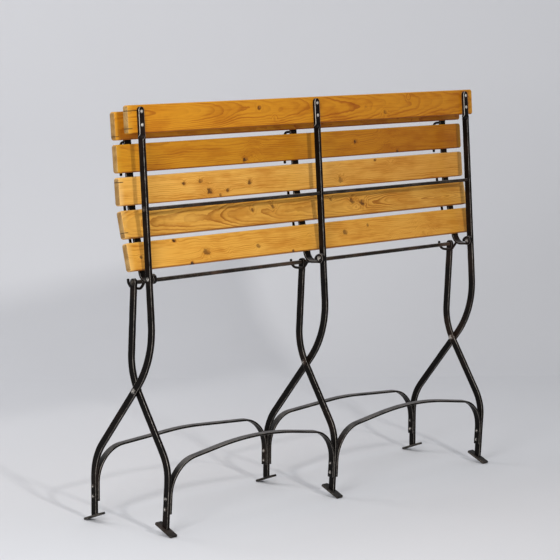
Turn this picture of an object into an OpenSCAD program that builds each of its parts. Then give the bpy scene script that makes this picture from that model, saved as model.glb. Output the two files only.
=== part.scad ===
// Folding garden bench, shown folded flat: three crossed iron leg frames, a slatted seat that
// stands up against the back, and one backrest slat.
// All sizes are in millimetres. Y runs from the rear (-) to the front (+), Z points up and the
// floor is Z = 0. The side profile is drawn in (y, z), with y = 0 at the crossing rivets.

/* [Frames] */
// Distance between the outer faces of the two end frames
frame_span = 1070; // [800:10:1400]
// Gap left between bars that turn on each other
side_play = 0.5; // [0.3:0.1:1.5]
// Width of the flat bar that the legs are forged from
bar_w = 16; // [14:1:20]
// Thickness of that bar
bar_t = 8; // [6:0.5:10]
// Height of the crossing rivets above the floor
crossing_z = 303; // [290:1:316]

/* [Back legs] */
// Distance of the front feet ahead of the crossing rivets
front_foot_y = 137; // [120:1:150]
// Lean of the lower part of the back leg, towards the rear going up, in degrees
front_shin_lean = 1.2; // [0:0.2:4]
// Slope of the diagonal part of the back leg, in degrees from upright
front_diagonal = 40; // [36:0.5:44]
// Radius of the bend above the front foot
front_shin_bend = 120; // [80:5:150]
// Radius of the bend under the seat
front_hip_bend = 200; // [120:5:220]
// Forward lean of the upright part when the bench is folded, in degrees
back_lean = 3; // [1:0.5:6]
// Distance of the seat pin behind the crossing rivets
seat_pin_back = 50.3; // [44:0.1:56]
// Height of the seat pin above the floor
seat_pin_z = 546; // [536:1:556]
// Height of the back leg's top end above the floor
stile_top_z = 907; // [885:1:940]
// Length of the quarter twist that turns the bar flat against the backrest
twist_length = 14; // [10:1:24]

/* [Rear legs] */
// Distance of the rear feet behind the crossing rivets
rear_foot_y = 81; // [70:1:95]
// Lean of the lower part of the rear leg, towards the rear going up, in degrees
rear_shin_lean = 4.6; // [1:0.2:7]
// Slope of the diagonal part of the rear leg, in degrees from upright
rear_diagonal = 31; // [28:0.5:34]
// Radius of the bend above the rear foot
rear_shin_bend = 100; // [70:5:130]
// Radius of the bend above the crossing
rear_knee_bend = 140; // [100:5:160]
// Lean of the upper part of the rear leg, towards the rear going up, in degrees
rear_top_lean = 4; // [1:0.5:7]
// Distance of the cross rod in front of the crossing rivets
cross_rod_y = 7; // [4:0.5:10]
// Height of the cross rod above the floor
cross_rod_z = 534; // [528:1:540]
// Diameter of the rounded head at the top of the rear leg
leg_head_d = 18; // [17:0.5:22]

/* [Folding] */
// How far the two pairs of legs open, in degrees
leg_opening = 45; // [42:1:50]
// How many degrees the seat turns for each degree of leg opening
seat_ratio = 2; // [1.9:0.05:2.1]
// Space that is left between the leg heads and the bearers when the bench is open
seat_rest_gap = 0.3; // [0.3:0.1:1]

/* [Seat] */
// Number of seat slats in front of the bend in the bearers
front_slats = 3; // [2:1:3]
// Number of seat slats behind the bend in the bearers
rear_slats = 2; // [1:1:2]
// Width of every slat
slat_w = 60; // [50:1:66]
// Thickness of every slat
slat_t = 15; // [13:0.5:20]
// Gap between two seat slats
slat_gap = 9; // [8:0.5:14]
// Gap between the two slats beside the bend, at the bearers
bend_gap = 12; // [9:0.5:18]
// How far the slats stand out past the end frames
slat_overhang = 29; // [15:1:60]
// Radius of the slats' corners, seen from the front
slat_corner = 6; // [2:0.5:12]
// Radius that eases the slats' long edges
slat_edge = 2.5; // [1:0.25:4]
// Width of the flat iron that the bearers are bent from
bearer_w = 20; // [18:1:24]
// Width that this iron is drawn down to where it is rolled round the seat pin
eye_w = 9; // [8:0.5:14]
// Distance in front of the seat pin at which the bearer has its full width again
neck_y = 18; // [14:1:22]
// Thickness of that flat iron
bearer_t = 5; // [4:0.5:6]
// Distance of the bearer's heel in front of the seat pin
heel_y = 32; // [29:1:38]
// Inside radius of the heel bend
heel_bend = 22; // [14:1:26]
// Radius of the bearer's bend between the slats
seat_bend_r = 40; // [30:5:60]
// Lean of the bearer behind its bend, in degrees
rear_seat_lean = 13; // [9:0.5:16]
// Distance from the heel corner to the lowest slat, along the bearer
heel_length = 23; // [21:1:30]
// Distance that the bearer's front end stays back from the slat edge
bearer_setback = 8; // [3:1:20]

/* [Guides] */
// Diameter of the rods that guide the cross rod under the seat
guide_d = 6; // [5:0.5:8]
// Distance from the bearer to the guide rods, between centre lines
guide_reach = 24; // [22:1:30]
// Space between the cross rod and the end of a guide rod that it passes
guide_play = 2.5; // [2:0.25:5]
// Space between a rear leg and the guide rods beside it
guide_side = 1.5; // [1:0.25:3]
// Drop of the hook's bottom below the closed cross rod, between centre lines
hook_drop = 13; // [12:0.5:18]
// Leg angle at which the cross rod passes the hook's tip, in degrees
hook_angle = 5; // [4:0.5:6]
// Leg angle at which it passes the rail's lower end
rail_angle = 6; // [5:0.5:8]
// Distance from the bearer's bend to the rail's upper end
rail_end = 46; // [44:1:50]
// Last part of the leg angle in which it passes the catch's tip
catch_angle = 2; // [1:0.25:3]
// Diameter of the peened tenons that hold the guide rods
guide_tenon_d = 4; // [3:0.5:5]

/* [Rods, pins and rivets] */
// Diameter of the rod across the back
back_rod_d = 8; // [6:0.5:10]
// Height of the rod across the back above the seat pin
back_rod_rise = 147; // [120:1:170]
// Diameter of the rod through the heads of the rear legs
cross_rod_d = 9; // [7:0.5:10]
// Diameter of the crossing rivets
crossing_d = 8; // [6:0.5:9]
// Diameter of the seat pins where the rolled eyes turn on them
seat_pin_d = 12; // [11:0.5:13]
// Diameter of the seat pins where they pass through the back legs
pin_tenon_d = 8; // [6:0.5:9]
// Diameter of the pin's round head beside the bearer's eye
pin_head_d = 13.5; // [13:0.5:18]
// Diameter of its peened end on the back leg's outer side
pin_end_d = 10.5; // [9.5:0.5:15]
// Height of both ends
pin_head_h = 2; // [1.5:0.25:4]
// Diameter of the stretcher rivets
rivet_d = 6; // [4:0.5:7]
// Diameter of the stretcher rivets' heads
rivet_head_d = 10; // [8:0.5:11]
// Height of the stretcher rivets' heads
rivet_head_h = 3; // [2:0.5:4]
// Diameter of the screws that hold the slats
screw_d = 4; // [3:0.5:5]
// Radial space round every shank in its hole
hole_play = 0.05; // [0.03:0.01:0.1]

/* [Stretchers and feet] */
// Width of the flat iron of the arched stretchers
stretcher_w = 16; // [14:1:20]
// Thickness of that flat iron
stretcher_t = 5; // [4:0.5:6]
// Height of the stretchers' lower ends above the soles
stretcher_foot = 36; // [26:1:38]
// Height of the lower stretcher rivet above the soles
rivet_low = 47; // [42:1:52]
// Distance between the two rivets at each end of a stretcher
rivet_pitch = 22; // [18:1:26]
// Height of the front stretchers' shoulder corners above the soles
front_shoulder = 148; // [140:1:160]
// Radius of the front stretchers' shoulders
front_shoulder_bend = 77; // [60:1:77]
// Height of the rear stretchers' shoulder corners above the soles
rear_shoulder = 142; // [136:1:156]
// Radius of the rear stretchers' shoulders
rear_shoulder_bend = 77; // [60:1:77]
// Rise of the front stretchers from their shoulder corners to their crown corner
front_rise = 16; // [6:1:30]
// Rise of the rear stretchers from their shoulder corners to their crown corner
rear_rise = 38; // [20:1:50]
// Radius of the stretchers' crowns
crown_bend = 780; // [400:10:1000]
// Length of the foot plates
foot_l = 55; // [45:1:65]
// Width of the foot plates
foot_w = 20; // [18:1:30]
// Thickness of the foot plates
foot_t = 5; // [4:0.5:6]

/* [Hidden] */
$fn = 48;
// How far the straight facets of a bend may lie from its true arc
chord_error = 0.05;
iron = [0.10, 0.09, 0.085];
worn_iron = [0.45, 0.43, 0.41];
pine = [0.82, 0.56, 0.24];
old_pine = [0.86, 0.64, 0.34];

// Points and directions in the side profile. A lean is measured from upright, positive towards
// the front going up.
function up(lean) = [sin(lean), cos(lean)];
function across(lean) = [cos(lean), -sin(lean)];
function turn_forward(v, a) = [v[0] * cos(a) + v[1] * sin(a), v[1] * cos(a) - v[0] * sin(a)];
function cross2(a, b) = a[0] * b[1] - a[1] * b[0];
function meet(p, lean_p, q, lean_q) =
    p + up(lean_p) * cross2(q - p, up(lean_q)) / cross2(up(lean_p), up(lean_q));
function lean_of(v) = atan2(v[0], v[1]);

crossing = [0, crossing_z];
seat_pin = [-seat_pin_back, seat_pin_z];
cross_rod_at = [cross_rod_y, cross_rod_z];

// The soles lie flat when the bench is open, so folded they are tilted. The tilt follows from
// where the rear feet come to when the legs have opened, and the second pass adds the tilt's
// own lift of the soles.
function sole(y, tilt) = [y, foot_l / 2 * sin(tilt)];
function opened(p) = crossing + turn_forward(p - crossing, leg_opening);
function feet_slope(front, rear) =
    atan2(opened(rear)[1] - front[1], front[0] - opened(rear)[0]);
tilt_guess = feet_slope([front_foot_y, 0], [-rear_foot_y, 0]);
front_tilt = feet_slope(sole(front_foot_y, tilt_guess), sole(-rear_foot_y, leg_opening - tilt_guess));
rear_tilt = leg_opening - front_tilt;
front_sole = sole(front_foot_y, front_tilt);
rear_sole = sole(-rear_foot_y, rear_tilt);

// Corners of the two legs' centre lines
front_low = meet(front_sole, -front_shin_lean, crossing, -front_diagonal);
front_hip = meet(crossing, -front_diagonal, seat_pin, back_lean);
stile_top = seat_pin + up(back_lean) * (stile_top_z - seat_pin_z) / cos(back_lean);
rear_low = meet(rear_sole, -rear_shin_lean, crossing, rear_diagonal);
rear_knee = meet(crossing, rear_diagonal, cross_rod_at, -rear_top_lean);

// Everything moves by this much along Y so that the bench's box is centred on the origin
front_reach = front_sole[0] + foot_l / 2 * cos(front_tilt) + foot_t * sin(front_tilt);
rear_reach = rear_sole[0] - foot_l / 2 * cos(rear_tilt) - foot_t * sin(rear_tilt);
middle_y = (front_reach + rear_reach) / 2;

// X of each back leg's inner face, and the way from it to the rest of its frame
end_face = frame_span / 2 - bar_t;
left_frame = [-end_face, 1];
middle_frame = [side_play / 2, -1];
right_frame = [end_face, -1];
frames = [left_frame, middle_frame, right_frame];

// The backrest slat and its screws lie along the stile
backrest_drop = 4;
screw_from_top = [10, 38];

// The cross rod's place as the seat sees it, measured from the seat pin, when the legs have
// opened by a: the seat turns by seat_ratio times a. At a ratio of 2 this curve is a limacon.
function rod_path(a) =
    turn_forward(crossing - seat_pin, -seat_ratio * a)
    + turn_forward(cross_rod_at - crossing, (1 - seat_ratio) * a);
function path_way(a) = let (d = rod_path(a + 0.5) - rod_path(a - 0.5)) d / norm(d);
function beside_path(a, off) = let (w = path_way(a)) rod_path(a) + off * [w[1], -w[0]];
rod_open = rod_path(leg_opening);

// The bearer, measured from the seat pin: rolled eye, heel, rear part, bend and front part. The
// front part's lean makes its underside rest on the leg heads when the bench is open.
eye_r = seat_pin_d / 2 + hole_play;
eye_ream = 0.1;
eye_mid_r = eye_r - eye_ream + bearer_t / 2;
heel = [heel_y, -eye_mid_r];
rear_part = heel_length + rear_slats * slat_w + (rear_slats - 1) * slat_gap + bend_gap / 2;
seat_bend = heel + up(rear_seat_lean) * rear_part;
rest_offset = leg_head_d / 2 + seat_rest_gap + bearer_t / 2;
front_seat_lean =
    lean_of(rod_open - seat_bend) - asin(rest_offset / norm(rod_open - seat_bend));
front_part =
    bend_gap / 2 + front_slats * slat_w + (front_slats - 1) * slat_gap - bearer_setback;
bearer_end = seat_bend + up(front_seat_lean) * front_part;
eye_roll = 290;
bearer_line = concat(
    [for (a = [-90 - eye_roll : 5 : -95]) eye_mid_r * [cos(a), sin(a)]],
    rounded([[0, -eye_mid_r], heel, seat_bend, bearer_end],
            [0, heel_bend + bearer_t / 2, seat_bend_r, 0]));

// Place of a slat's back face: the middle of the face that lies on the bearers, and its lean.
// Slat 1 is the front one, at the top when the bench is folded.
slat_pitch = slat_w + slat_gap;
slat_count = front_slats + rear_slats;
function from_bend(i) = i > front_slats
    ? -bend_gap / 2 - slat_w / 2 - (i - front_slats - 1) * slat_pitch
    : bend_gap / 2 + slat_w / 2 + (front_slats - i) * slat_pitch;
function slat_lean(i) = i <= front_slats ? front_seat_lean : rear_seat_lean;
function on_bearer(along, lean, off) = seat_bend + along * up(lean) + off * across(lean);
function slat_place(i) = on_bearer(from_bend(i), slat_lean(i), -bearer_t / 2);

// The guide rod, opened where the cross rod crosses its line: a hook that holds the closed cross
// rod from below, a rail along the bearer, and a catch round the cross rod of the open bench
guide_off = cross_rod_d / 2 + guide_play + guide_d / 2;
guide_w = side_play + bar_t + guide_side + guide_d / 2;
function beside_bearer(along, lean) = on_bearer(along, lean, guide_reach);

// The hook stands on the outside of the heel, at the middle of its bend.
hook_lean = (90 + rear_seat_lean) / 2;
heel_inset = (heel_bend + bearer_t / 2) * (1 / cos(90 - hook_lean) - 1);
hook_root = heel - (heel_inset - bearer_t / 2) * across(hook_lean);
hook_bottom = rod_path(0) - [0, hook_drop];
hook_tip = beside_path(hook_angle, guide_off);
hook_line = rounded(
    [hook_root, meet(hook_root, 90 + hook_lean, hook_bottom, 90), [hook_tip[0], hook_bottom[1]],
     hook_tip],
    [0, 2 * guide_d, 3 * guide_d, 0]);

rail_root = on_bearer(rail_end, front_seat_lean, bearer_t / 2);
rail_line = rounded(
    [beside_path(rail_angle, -guide_off),
     beside_bearer(from_bend(slat_count), rear_seat_lean),
     meet(beside_bearer(0, rear_seat_lean), rear_seat_lean,
          beside_bearer(0, front_seat_lean), front_seat_lean),
     beside_bearer(rail_end, front_seat_lean), rail_root],
    [0, 10 * guide_d, 10 * guide_d, 1.5 * guide_d, 0]);

// The catch ends in the gap between the two front slats.
catch_end = from_bend(1) - slat_pitch / 2;
catch_root = on_bearer(catch_end, front_seat_lean, bearer_t / 2);
catch_line = rounded(
    [beside_path(leg_opening - catch_angle, guide_off),
     beside_bearer(catch_end, front_seat_lean), catch_root],
    [0, 1.5 * guide_d, 0]);

module rounded_rectangle(l, w, r) {
    square([l - 2 * r, w], center = true);
    square([l, w - 2 * r], center = true);
    for (sx = [-1, 1], sy = [-1, 1])
        translate([sx * (l / 2 - r), sy * (w / 2 - r)]) circle(r);
}

// Centre lines: corner points p with a bend radius r at each, turned into a smooth list of
// points. A bend that its neighbours leave no room for gets a smaller radius.
function heading(a, b) = atan2(b[1] - a[1], b[0] - a[0]);
function wrap(a) = a > 180 ? a - 360 : a < -180 ? a + 360 : a;
function bend_at(p, i) = wrap(heading(p[i], p[i + 1]) - heading(p[i - 1], p[i]));
function room(p, i, j) = norm(p[j] - p[i]) * (j == 0 || j == len(p) - 1 ? 0.95 : 0.47);
function corner_cut(p, r, i) =
    min(r[i] * tan(abs(bend_at(p, i)) / 2), room(p, i, i - 1), room(p, i, i + 1));
function steps(r, turn) = ceil(abs(turn) / (2 * acos(1 - chord_error / r)));
function arc(p, i, cut) =
    let (turn = bend_at(p, i), way = heading(p[i - 1], p[i]), side = sign(turn),
         r = cut / tan(abs(turn) / 2), n = steps(r, turn),
         centre = p[i] - cut * [cos(way), sin(way)] + side * r * [-sin(way), cos(way)])
    [for (k = [0 : n]) centre + side * r * [sin(way + turn * k / n), -cos(way + turn * k / n)]];
function rounded(p, r) = [
    for (i = [0 : len(p) - 1])
        each i == 0 || i == len(p) - 1 || abs(bend_at(p, i)) < 0.01 ? [p[i]]
             : arc(p, i, corner_cut(p, r, i))];

// The way along a centre line at one of its points, and the point beside it at a distance
function along(c, i) =
    let (a = c[max(i - 1, 0)], b = c[i], d = c[min(i + 1, len(c) - 1)],
         u = a == b ? [0, 0] : (b - a) / norm(b - a), v = d == b ? [0, 0] : (d - b) / norm(d - b))
    (u + v) / norm(u + v);
function half_turn(c, i) =
    i == 0 || i == len(c) - 1 ? 0 : wrap(heading(c[i], c[i + 1]) - heading(c[i - 1], c[i])) / 2;
function beside(c, i, off) =
    let (w = along(c, i)) c[i] + off / cos(half_turn(c, i)) * [-w[1], w[0]];
function outline(c, w) = concat(
    [for (i = [0 : len(c) - 1]) beside(c, i, -w / 2)],
    [for (i = [len(c) - 1 : -1 : 0]) beside(c, i, w / 2)]);

// A flat bar of width w along a centre line in the XY plane, t thick about that plane
module bar(c, w, t) {
    linear_extrude(height = t, center = true) polygon(outline(c, w));
}

// A closed skin over rings of points that all have the same count, each ring turning
// counter-clockwise about the way to the next one
module skin(rings) {
    n = len(rings[0]);
    last = len(rings) - 1;
    polyhedron(
        points = [for (ring = rings) each ring],
        faces = concat(
            [[for (j = [0 : n - 1]) j]],
            [for (k = [0 : last - 1], j = [0 : n - 1])
                [k * n + j, (k + 1) * n + j, (k + 1) * n + (j + 1) % n]],
            [for (k = [0 : last - 1], j = [0 : n - 1])
                [k * n + j, (k + 1) * n + (j + 1) % n, k * n + (j + 1) % n]],
            [[for (j = [n - 1 : -1 : 0]) last * n + j]]));
}

// Turns a drawing in (y, z, x) into the side profile of one frame. w is the distance from the
// back leg's inner face towards the other bars of the frame.
module in_frame(frame, w) {
    translate([frame[0] + frame[1] * w, -middle_y, 0]) rotate([90, 0, 90]) children();
}

// A round bar across the bench, centred on a profile point, between two values of X
module across_bar(at, x0, x1, d) {
    translate([min(x0, x1), at[0] - middle_y, at[1]])
        rotate([0, 90, 0]) cylinder(h = abs(x1 - x0), d = d);
}

// A low dome on the XY plane, as a hammered rivet head has
module dome(d, h) {
    ball = (d * d / 4 + h * h) / (2 * h);
    intersection() {
        translate([0, 0, h - ball]) sphere(ball);
        cylinder(h = h, d = d);
    }
}

// A dome on the plane X = x, facing the way given by side, at a profile point
module side_dome(at, x, side, d, h) {
    translate([x, at[0] - middle_y, at[1]]) rotate([0, side * 90, 0]) dome(d, h);
}

// A rivet across the bench with a dome at both ends
module cross_rivet(at, x0, x1, d, head_d, head_h) {
    across_bar(at, x0, x1, d);
    side_dome(at, min(x0, x1), -1, head_d, head_h);
    side_dome(at, max(x0, x1), 1, head_d, head_h);
}

module hole(at, x0, x1, d) {
    across_bar(at, min(x0, x1) - 1, max(x0, x1) + 1, d + 2 * hole_play);
}

// Places its children at a profile point with their Z along the given lean
module at_lean(at, lean) {
    translate([0, at[0] - middle_y, at[1]]) rotate([-lean, 0, 0]) children();
}

function rivet_at(foot, lean, n) = foot + up(lean) * (rivet_low + n * rivet_pitch);

// The small tenon that holds a foot plate, and the plate itself
foot_tenon_d = 6;
module foot_space(foot, tilt, x) {
    translate([x, foot[0] - middle_y, foot[1]]) rotate([-tilt, 0, 0])
        translate([-bar_w * 2, -foot_l, foot_t - bar_w * 4])
            cube([bar_w * 4, 2 * foot_l, bar_w * 4]);
}

module foot_plate(foot, tilt, x) {
    color(iron)
    translate([x, foot[0] - middle_y, foot[1]]) rotate([-tilt, 0, 0])
    difference() {
        linear_extrude(height = foot_t) rounded_rectangle(foot_w, foot_l, 0.6 * foot_t);
        translate([0, 0, -1]) cylinder(h = foot_t + 2, d = foot_tenon_d + 2 * hole_play);
    }
}

module foot_tenon(foot, tilt, x) {
    translate([x, foot[0] - middle_y, foot[1]]) rotate([-tilt, 0, 0])
        cylinder(h = foot_t + 2, d = foot_tenon_d);
}

function bar_x(frame, w) = frame[0] + frame[1] * w;

// The back leg: foot, two bends, upright, quarter twist and a flat tab with a round end
tab_l = slat_w - backrest_drop;
straight_end = norm(stile_top - seat_pin) - tab_l - twist_length;
twist_from = seat_pin + up(back_lean) * straight_end;
twist_steps = 10;
twist_skin = 0.05;
twist_hold = 1;
function smooth(s) = s * s * (3 - 2 * s);
function turned_section(w, t, a, z) = [
    for (c = [[-w, -t], [w, -t], [w, t], [-w, t]] / 2)
        [c[0] * cos(a) - c[1] * sin(a), c[0] * sin(a) + c[1] * cos(a), z]];
function section_at(a, z) =
    turned_section(bar_t - 2 * twist_skin, bar_w - 2 * twist_skin, a, z);

module quarter_twist() {
    skin(concat(
        [section_at(0, -twist_hold)],
        [for (k = [0 : twist_steps])
            section_at(90 * smooth(k / twist_steps), twist_length * k / twist_steps)],
        [section_at(90, twist_length + twist_hold)]));
}

// The tab's outline, with its round end at the top
tab_outline = concat(
    [[-bar_w / 2, 0], [bar_w / 2, 0]],
    [for (a = [0 : 10 : 180])
        [bar_w / 2 * cos(a), tab_l - bar_w / 2 + bar_w / 2 * sin(a)]]);

module stile(frame) {
    x = bar_x(frame, -bar_t / 2);
    color(iron)
    difference() {
        union() {
            difference() {
                in_frame(frame, -bar_t / 2)
                    bar(rounded([front_sole - up(-front_shin_lean) * bar_w, front_low,
                                 front_hip, twist_from],
                                [0, front_shin_bend, front_hip_bend, 0]),
                        bar_w, bar_t);
                foot_space(front_sole, front_tilt, x);
            }
            foot_tenon(front_sole, front_tilt, x);
            translate([x, 0, 0]) at_lean(twist_from, back_lean) {
                quarter_twist();
                translate([0, bar_t / 2, twist_length])
                    rotate([90, 0, 0]) linear_extrude(height = bar_t) polygon(tab_outline);
            }
        }
        hole(crossing, x - bar_t, x + bar_t, crossing_d);
        hole(seat_pin, x - bar_t, x + bar_t, pin_tenon_d);
        hole(back_rod_at, x - bar_t, x + bar_t, back_rod_d);
        for (n = [0, 1])
            hole(rivet_at(front_sole, -front_shin_lean, n), x - bar_t, x + bar_t, rivet_d);
        for (s = screw_from_top)
            translate([x, 0, 0]) at_lean(stile_top - up(back_lean) * s, back_lean)
                rotate([90, 0, 0])
                    cylinder(h = 4 * bar_t, d = screw_d + 2 * hole_play, center = true);
    }
}
back_rod_at = seat_pin + up(back_lean) * back_rod_rise;

// The rear leg: foot, two bends and a round head that holds the cross rod
module rear_leg(frame) {
    w = side_play + bar_t / 2;
    x = bar_x(frame, w);
    color(iron)
    difference() {
        union() {
            difference() {
                in_frame(frame, w)
                    bar(rounded([rear_sole - up(-rear_shin_lean) * bar_w, rear_low, rear_knee,
                                 cross_rod_at],
                                [0, rear_shin_bend, rear_knee_bend, 0]),
                        bar_w, bar_t);
                foot_space(rear_sole, -rear_tilt, x);
            }
            foot_tenon(rear_sole, -rear_tilt, x);
            across_bar(cross_rod_at, x - bar_t / 2, x + bar_t / 2, leg_head_d);
        }
        hole(crossing, x - bar_t, x + bar_t, crossing_d);
        hole(cross_rod_at, x - bar_t, x + bar_t, cross_rod_d);
        for (n = [0, 1])
            hole(rivet_at(rear_sole, -rear_shin_lean, n), x - bar_t, x + bar_t, rivet_d);
    }
}

// An arched stretcher between two legs, from X = x0 to X = x1, standing in the plane of the
// legs' lower parts
module stretcher(foot, lean, x0, x1, shoulder, rise, shoulder_bend) {
    span = x1 - x0;
    left = stretcher_t / 2;
    right = span - stretcher_t / 2;
    color(iron)
    difference() {
        translate([x0, 0, 0]) at_lean(foot, lean) rotate([90, 0, 0])
            bar(rounded([[left, stretcher_foot], [left, shoulder],
                         [span / 2, shoulder + rise],
                         [right, shoulder], [right, stretcher_foot]],
                        [0, shoulder_bend, crown_bend, shoulder_bend, 0]),
                stretcher_t, stretcher_w);
        for (n = [0, 1]) hole(rivet_at(foot, lean, n), x0, x1, rivet_d);
    }
}

module stretcher_rivets(foot, lean, planes) {
    color(worn_iron)
    for (p = planes, n = [0, 1])
        cross_rivet(rivet_at(foot, lean, n), p[0], p[1], rivet_d,
                    rivet_head_d, rivet_head_h);
}

// The slats: a plank with rounded corners and eased edges, with its back face on Z = 0 and its
// width along Y
module plank(l) {
    translate([0, 0, slat_t / 2])
    intersection() {
        linear_extrude(height = slat_t, center = true)
            rounded_rectangle(l, slat_w, slat_corner);
        rotate([90, 0, 90]) linear_extrude(height = l + 2, center = true)
            rounded_rectangle(slat_w, slat_t, slat_edge);
        rotate([90, 0, 0]) linear_extrude(height = slat_w + 2, center = true)
            rounded_rectangle(l, slat_t, slat_edge);
    }
}
slat_l = frame_span + 2 * slat_overhang;

// The backrest slat stands in front of the tabs
back_face = stile_top - up(back_lean) * (slat_w / 2 - backrest_drop)
    + across(back_lean) * bar_t / 2;
module backrest_slat() {
    color(pine)
    difference() {
        at_lean(back_face, back_lean) rotate([-90, 0, 0]) plank(slat_l);
        for (f = frames, s = screw_from_top) backrest_screw(f, s, screw_d + 2 * hole_play);
    }
}

// A screw's shank: through the tab and most of the slat
module backrest_screw(frame, s, d) {
    translate([bar_x(frame, -bar_t / 2), 0, 0])
        at_lean(stile_top - up(back_lean) * s, back_lean)
            rotate([-90, 0, 0]) translate([0, 0, -bar_t / 2])
                cylinder(h = bar_t + slat_t * 0.75 + d / 4, d = d);
}

module backrest_screws() {
    color(worn_iron)
    for (f = frames, s = screw_from_top) {
        backrest_screw(f, s, screw_d);
        translate([bar_x(f, -bar_t / 2), 0, 0])
            at_lean(stile_top - up(back_lean) * s, back_lean)
                rotate([90, 0, 0]) translate([0, 0, bar_t / 2]) dome(2 * screw_d, 2);
    }
}

// The bearer under the seat: a flat iron rolled round the seat pin, bent at the heel and again
// between the slats
module bearer(frame) {
    w = side_play + bearer_w / 2;
    x = bar_x(frame, w);
    color(iron)
    difference() {
        in_frame(frame, w) translate([seat_pin[0], seat_pin[1], 0]) {
            bar(bearer_line, bearer_t, bearer_w);
        }
        across_bar(seat_pin, x - bearer_w, x + bearer_w, 2 * eye_r);
        beside_the_eye(frame);
        for (i = [1 : slat_count]) seat_screw(x, i, screw_d + 2 * hole_play);
        guide_holes(frame);
    }
}

// What the iron loses on its far side where it is drawn down to the eye's width
module beside_the_eye(frame) {
    w = side_play + eye_w;
    r = eye_r + 2 * bearer_t;
    corners = [[w, eye_r], [w, -r], [w + bearer_w, -r], [w + bearer_w, neck_y],
               [side_play + bearer_w, neck_y]];
    translate([0, seat_pin[0] - middle_y, seat_pin[1] - r])
        linear_extrude(height = 2 * r)
            polygon([for (i = [0 : 4]) let (c = corners[frame[1] > 0 ? 4 - i : i])
                     [bar_x(frame, c[0]), c[1]]]);
}

// A screw's shank: from the bearer's underside into the slat
module seat_screw(x, i, d) {
    translate([x, 0, 0])
        at_lean(seat_pin + slat_place(i), slat_lean(i))
            rotate([90, 0, 0]) translate([0, 0, -bearer_t])
                cylinder(h = bearer_t + slat_t * 0.6 + d / 4, d = d);
}

module seat_screws() {
    color(worn_iron)
    for (f = frames, i = [1 : slat_count]) {
        x = bar_x(f, side_play + bearer_w / 2);
        seat_screw(x, i, screw_d);
        translate([x, 0, 0]) at_lean(seat_pin + slat_place(i), slat_lean(i))
            rotate([-90, 0, 0]) translate([0, 0, bearer_t]) dome(2 * screw_d, 2);
    }
}

module seat_slat(i) {
    color(i > front_slats ? old_pine : pine)
    difference() {
        at_lean(seat_pin + slat_place(i), slat_lean(i)) rotate([90, 0, 0]) plank(slat_l);
        for (f = frames)
            seat_screw(bar_x(f, side_play + bearer_w / 2), i, screw_d + 2 * hole_play);
    }
}

// The guide rods' peened ends: short tenons through the bearer
module guide_holes(frame) {
    x = bar_x(frame, guide_w);
    for (at = [[hook_root, hook_lean], [rail_root, front_seat_lean], [catch_root, front_seat_lean]])
        translate([x, 0, 0]) at_lean(seat_pin + at[0], at[1])
            rotate([90, 0, 0])
                cylinder(h = 3 * bearer_t, d = guide_tenon_d + 2 * hole_play, center = true);
}

guide_sides = 10;
function rod_ring(at, way, r) = [
    for (j = [0 : guide_sides - 1])
        let (a = 360 * j / guide_sides, side = r * cos(a) * [-way[1], way[0]])
        [at[0] + side[0], at[1] + side[1], r * sin(a)]];

// One rod from its free, eased tip to its root on the bearer, with the tenon beyond the root
module guide_rod(line) {
    last = len(line) - 1;
    first_way = along(line, 0);
    last_way = along(line, last);
    ease = guide_d / 4;
    skin(concat(
        [rod_ring(line[0] - first_way * ease, first_way, guide_d / 2 - ease)],
        [for (i = [0 : last]) rod_ring(line[i], along(line, i), guide_d / 2)],
        [for (at = [line[last], line[last] + last_way * bearer_t])
            rod_ring(at, last_way, guide_tenon_d / 2)]));
}

function backwards(line) = [for (i = [len(line) - 1 : -1 : 0]) line[i]];

module guide(frame) {
    color(iron)
        in_frame(frame, guide_w) translate([seat_pin[0], seat_pin[1], 0]) {
            guide_rod(backwards(hook_line));
            guide_rod(rail_line);
            guide_rod(catch_line);
        }
}

// Pins and rods
module seat_pins() {
    color(worn_iron)
    for (f = frames) {
        end = bar_x(f, eye_w + 2 * side_play);
        across_bar(seat_pin, f[0], end, seat_pin_d);
        across_bar(seat_pin, f[0], bar_x(f, -bar_t), pin_tenon_d);
        side_dome(seat_pin, end, f[1], pin_head_d, pin_head_h);
        side_dome(seat_pin, bar_x(f, -bar_t), -f[1], pin_end_d, pin_head_h);
    }
}

module crossing_rivets() {
    color(worn_iron)
    for (f = frames)
        cross_rivet(crossing, bar_x(f, -bar_t), bar_x(f, bar_t + 2 * side_play), crossing_d,
                    bar_w - 1, 4);
}

module back_rod() {
    color(iron)
        cross_rivet(back_rod_at, -frame_span / 2, frame_span / 2, back_rod_d,
                    1.5 * back_rod_d, 0.375 * back_rod_d);
}

module cross_rod() {
    end = end_face - side_play;
    color(iron) cross_rivet(cross_rod_at, -end, end, cross_rod_d,
                    1.44 * cross_rod_d, 0.28 * cross_rod_d);
}

// X of the faces that the stretchers are riveted to
front_left_bay = [left_frame[0], middle_frame[0]];
front_right_bay = [middle_frame[0] + bar_t, right_frame[0]];
rear_left_bay = [bar_x(left_frame, side_play + bar_t), bar_x(middle_frame, side_play + bar_t)];
rear_right_bay = [bar_x(middle_frame, side_play), bar_x(right_frame, side_play + bar_t)];
front_planes = [
    [-frame_span / 2, front_left_bay[0] + stretcher_t],
    [front_left_bay[1] - stretcher_t, front_right_bay[0] + stretcher_t],
    [front_right_bay[1] - stretcher_t, frame_span / 2]];
rear_planes = [
    [bar_x(left_frame, side_play), rear_left_bay[0] + stretcher_t],
    [rear_left_bay[1] - stretcher_t, rear_right_bay[0] + stretcher_t],
    [rear_right_bay[1] - stretcher_t, bar_x(right_frame, side_play)]];

module front_stretcher(bay) {
    stretcher(front_sole, -front_shin_lean, bay[0], bay[1], front_shoulder, front_rise,
              front_shoulder_bend);
}

module rear_stretcher(bay) {
    stretcher(rear_sole, -rear_shin_lean, bay[0], bay[1], rear_shoulder, rear_rise,
              rear_shoulder_bend);
}

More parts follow.
